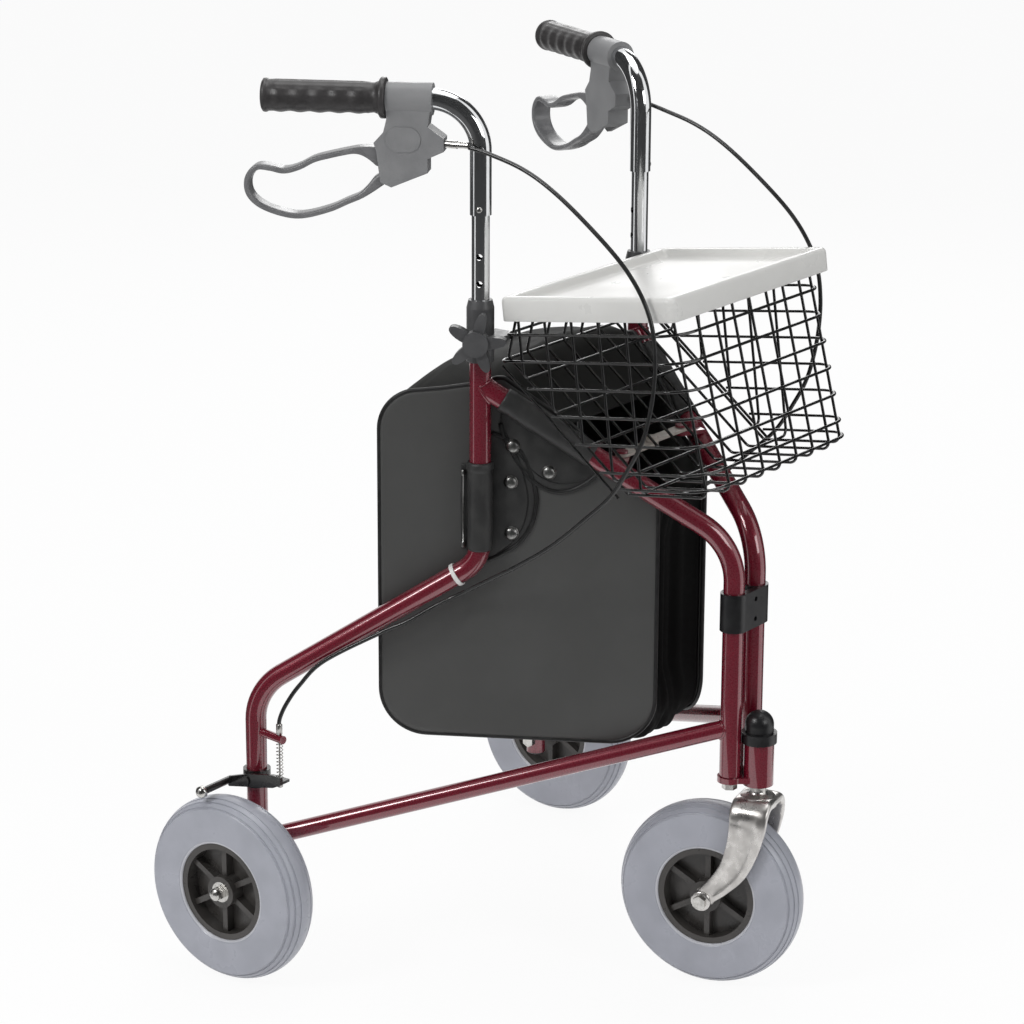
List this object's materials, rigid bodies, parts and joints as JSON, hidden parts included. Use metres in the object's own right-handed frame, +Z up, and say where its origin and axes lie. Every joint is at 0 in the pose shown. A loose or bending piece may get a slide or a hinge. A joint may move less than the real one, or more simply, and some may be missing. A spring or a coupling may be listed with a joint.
{
  "type": "three wheel rollator",
  "caption": "Folding walking frame with a front caster, braked rear wheels, height-adjustable handles with loop brake levers, a wire basket with a tray, and a bag between the side frames.",
  "frame": {"origin": "centre of the part's footprint on the floor", "axes": "+Z up, +Y forward to the front caster, +X to the right of a user who stands behind it"},
  "size_m": [0.6618, 0.6101, 0.9515],
  "materials": {
    "frame_paint": "gloss metallic",
    "chrome_tube": "polished",
    "bright_steel": "satin",
    "cast_metal": "satin cast",
    "zinc_plate": "zinc plated",
    "black_wire": "satin black",
    "black_plastic": "moulded",
    "dark_plastic": "moulded",
    "white_plastic": "smooth",
    "tyre_rubber": "soft grey",
    "grip_rubber": "matte",
    "cable_casing": "smooth",
    "bag_vinyl": "coated",
    "bag_cloth": "woven"
  },
  "bodies": {
    "front_head": {"head_tube": "frame_paint", "head_cap": "black_plastic", "hinge_strap": "dark_plastic", "hinge_bolts": "bright_steel", "head_bearings": "bright_steel", "bag_gusset": "bag_cloth"},
    "caster": {"caster_stem": "bright_steel", "caster_fork": "cast_metal", "front_axle": "bright_steel"},
    "front_wheel": {"front_tyre": "tyre_rubber", "front_hub": "black_plastic", "front_bearings": "bright_steel"},
    "right_frame": {"right_main_tube": "frame_paint", "right_diagonal_tube": "frame_paint", "right_lower_rail": "frame_paint", "right_height_collar": "dark_plastic", "right_brake_clamp": "black_wire", "right_rear_axle": "bright_steel", "right_bag_panel": "bag_vinyl", "right_bag_straps": "bag_vinyl", "right_bag_snaps": "bright_steel", "right_brake_cable": "cable_casing", "right_brake_spring": "bright_steel"},
    "right_wheel": {"right_tyre": "tyre_rubber", "right_hub": "black_plastic", "right_bearings": "bright_steel"},
    "right_handle": {"right_handle_tube": "chrome_tube", "right_height_tube": "chrome_tube", "right_hand_grip": "grip_rubber", "right_brake_housing": "dark_plastic", "right_cable_adjuster": "bright_steel"},
    "right_lever": {"right_brake_lever": "dark_plastic"},
    "right_brake_arm": {"right_brake_arm": "black_wire"},
    "right_knob": {"right_knob": "dark_plastic"},
    "right_link": {"right_brace_link": "zinc_plate"},
    "left_frame": {"left_main_tube": "frame_paint", "left_diagonal_tube": "frame_paint", "left_lower_rail": "frame_paint", "left_height_collar": "dark_plastic", "left_brake_clamp": "black_wire", "left_rear_axle": "bright_steel", "left_bag_panel": "bag_vinyl", "left_bag_straps": "bag_vinyl", "left_bag_snaps": "bright_steel", "left_brake_cable": "cable_casing", "left_brake_spring": "bright_steel"},
    "left_wheel": {"left_tyre": "tyre_rubber", "left_hub": "black_plastic", "left_bearings": "bright_steel"},
    "left_handle": {"left_handle_tube": "chrome_tube", "left_height_tube": "chrome_tube", "left_hand_grip": "grip_rubber", "left_brake_housing": "dark_plastic", "left_cable_adjuster": "bright_steel"},
    "left_lever": {"left_brake_lever": "dark_plastic"},
    "left_brake_arm": {"left_brake_arm": "black_wire"},
    "left_knob": {"left_knob": "dark_plastic"},
    "left_link": {"left_brace_link": "zinc_plate"},
    "basket": {"basket_frame": "black_wire"},
    "tray": {"basket_tray": "white_plastic"}
  },
  "joints": [
    {"name": "caster_swivel", "type": "hinge", "parent": "front_head", "child": "caster", "pos_m": [0, 0.25363, 0], "axis": [0, 0, 1], "continuous": true},
    {"name": "front_wheel_spin", "type": "hinge", "parent": "caster", "child": "front_wheel", "pos_m": [0.00998, 0.20668, 0.1], "axis": [0.9781, 0.2079, 0], "continuous": true},
    {"name": "right_fold", "type": "hinge", "parent": "front_head", "child": "right_frame", "pos_m": [0.02, 0.23163, 0], "axis": [0, 0, -1], "range_deg": [0, 22], "deforming": ["right_brake_cable", "left_brake_cable", "bag_gusset"]},
    {"name": "left_fold", "type": "hinge", "parent": "front_head", "child": "left_frame", "pos_m": [-0.02, 0.23163, 0], "axis": [0, 0, 1], "range_deg": [0, 22], "deforming": ["left_brake_cable", "bag_gusset"]},
    {"name": "right_wheel_spin", "type": "hinge", "parent": "right_frame", "child": "right_wheel", "pos_m": [0.29815, -0.20509, 0.1], "axis": [1, 0, 0], "continuous": true},
    {"name": "right_height", "type": "slide", "parent": "right_frame", "child": "right_handle", "axis": [0, 0, 1], "range_m": [-0.08, 0.05], "deforming": ["right_brake_cable"]},
    {"name": "right_squeeze", "type": "hinge", "parent": "right_handle", "child": "right_lever", "pos_m": [0.18016, -0.06581, 0.86828], "axis": [-0.8805, -0.4741, 0], "range_deg": [0, 14], "stiffness_Nm_per_rad": 3, "deforming": ["right_brake_cable", "right_brake_spring"]},
    {"name": "right_brake", "type": "hinge", "parent": "right_frame", "child": "right_brake_arm", "pos_m": [0.25515, -0.20509, 0.211], "axis": [1, 0, 0], "range_deg": [0, 12.6], "stiffness_Nm_per_rad": 1, "deforming": ["right_brake_cable", "right_brake_spring"]},
    {"name": "right_knob_turn", "type": "hinge", "parent": "right_frame", "child": "right_knob", "pos_m": [0.14326, 0.00271, 0.693], "axis": [0.8805, 0.4741, 0], "continuous": true},
    {"name": "right_brace_swing", "type": "hinge", "parent": "right_frame", "child": "right_link", "pos_m": [0.05483, 0.11632, 0.56743], "axis": [0, 0, 1], "range_deg": [0, 102.5]},
    {"name": "left_wheel_spin", "type": "hinge", "parent": "left_frame", "child": "left_wheel", "pos_m": [-0.29815, -0.20509, 0.1], "axis": [1, 0, 0], "continuous": true},
    {"name": "left_height", "type": "slide", "parent": "left_frame", "child": "left_handle", "axis": [0, 0, 1], "range_m": [-0.08, 0.05], "deforming": ["left_brake_cable"]},
    {"name": "left_squeeze", "type": "hinge", "parent": "left_handle", "child": "left_lever", "pos_m": [-0.18016, -0.06581, 0.86828], "axis": [0.8805, -0.4741, 0], "range_deg": [0, 14], "stiffness_Nm_per_rad": 3, "deforming": ["left_brake_cable", "left_brake_spring"]},
    {"name": "left_brake", "type": "hinge", "parent": "left_frame", "child": "left_brake_arm", "pos_m": [-0.25515, -0.20509, 0.211], "axis": [1, 0, 0], "range_deg": [0, 12.6], "stiffness_Nm_per_rad": 1, "deforming": ["left_brake_cable", "left_brake_spring"]},
    {"name": "left_knob_turn", "type": "hinge", "parent": "left_frame", "child": "left_knob", "pos_m": [-0.14326, 0.00271, 0.693], "axis": [-0.8805, 0.4741, 0], "continuous": true},
    {"name": "left_brace_swing", "type": "hinge", "parent": "left_frame", "child": "left_link", "pos_m": [-0.05483, 0.11632, 0.57093], "axis": [0, 0, -1], "range_deg": [0, 102.5]},
    {"name": "basket_lift", "type": "slide", "parent": "front_head", "child": "basket", "axis": [0, 0, 1], "range_m": [0, 0.401], "deforming": ["right_brake_cable", "left_brake_cable"]},
    {"name": "tray_lift", "type": "slide", "parent": "basket", "child": "tray", "axis": [0, -0.1305, 0.9914], "range_m": [0, 0.1]}
  ],
  "couplings": [
    {"joint": "left_fold", "follows": "right_fold", "ratio": 1},
    {"joint": "right_brace_swing", "follows": "right_fold", "ratio": 4.6568},
    {"joint": "left_brace_swing", "follows": "right_fold", "ratio": 4.6568},
    {"joint": "basket_lift", "follows": "right_fold", "m_per_rad": 1.0417},
    {"joint": "right_brake", "follows": "right_squeeze", "ratio": 0.89286},
    {"joint": "left_brake", "follows": "left_squeeze", "ratio": 0.89286}
  ]
}
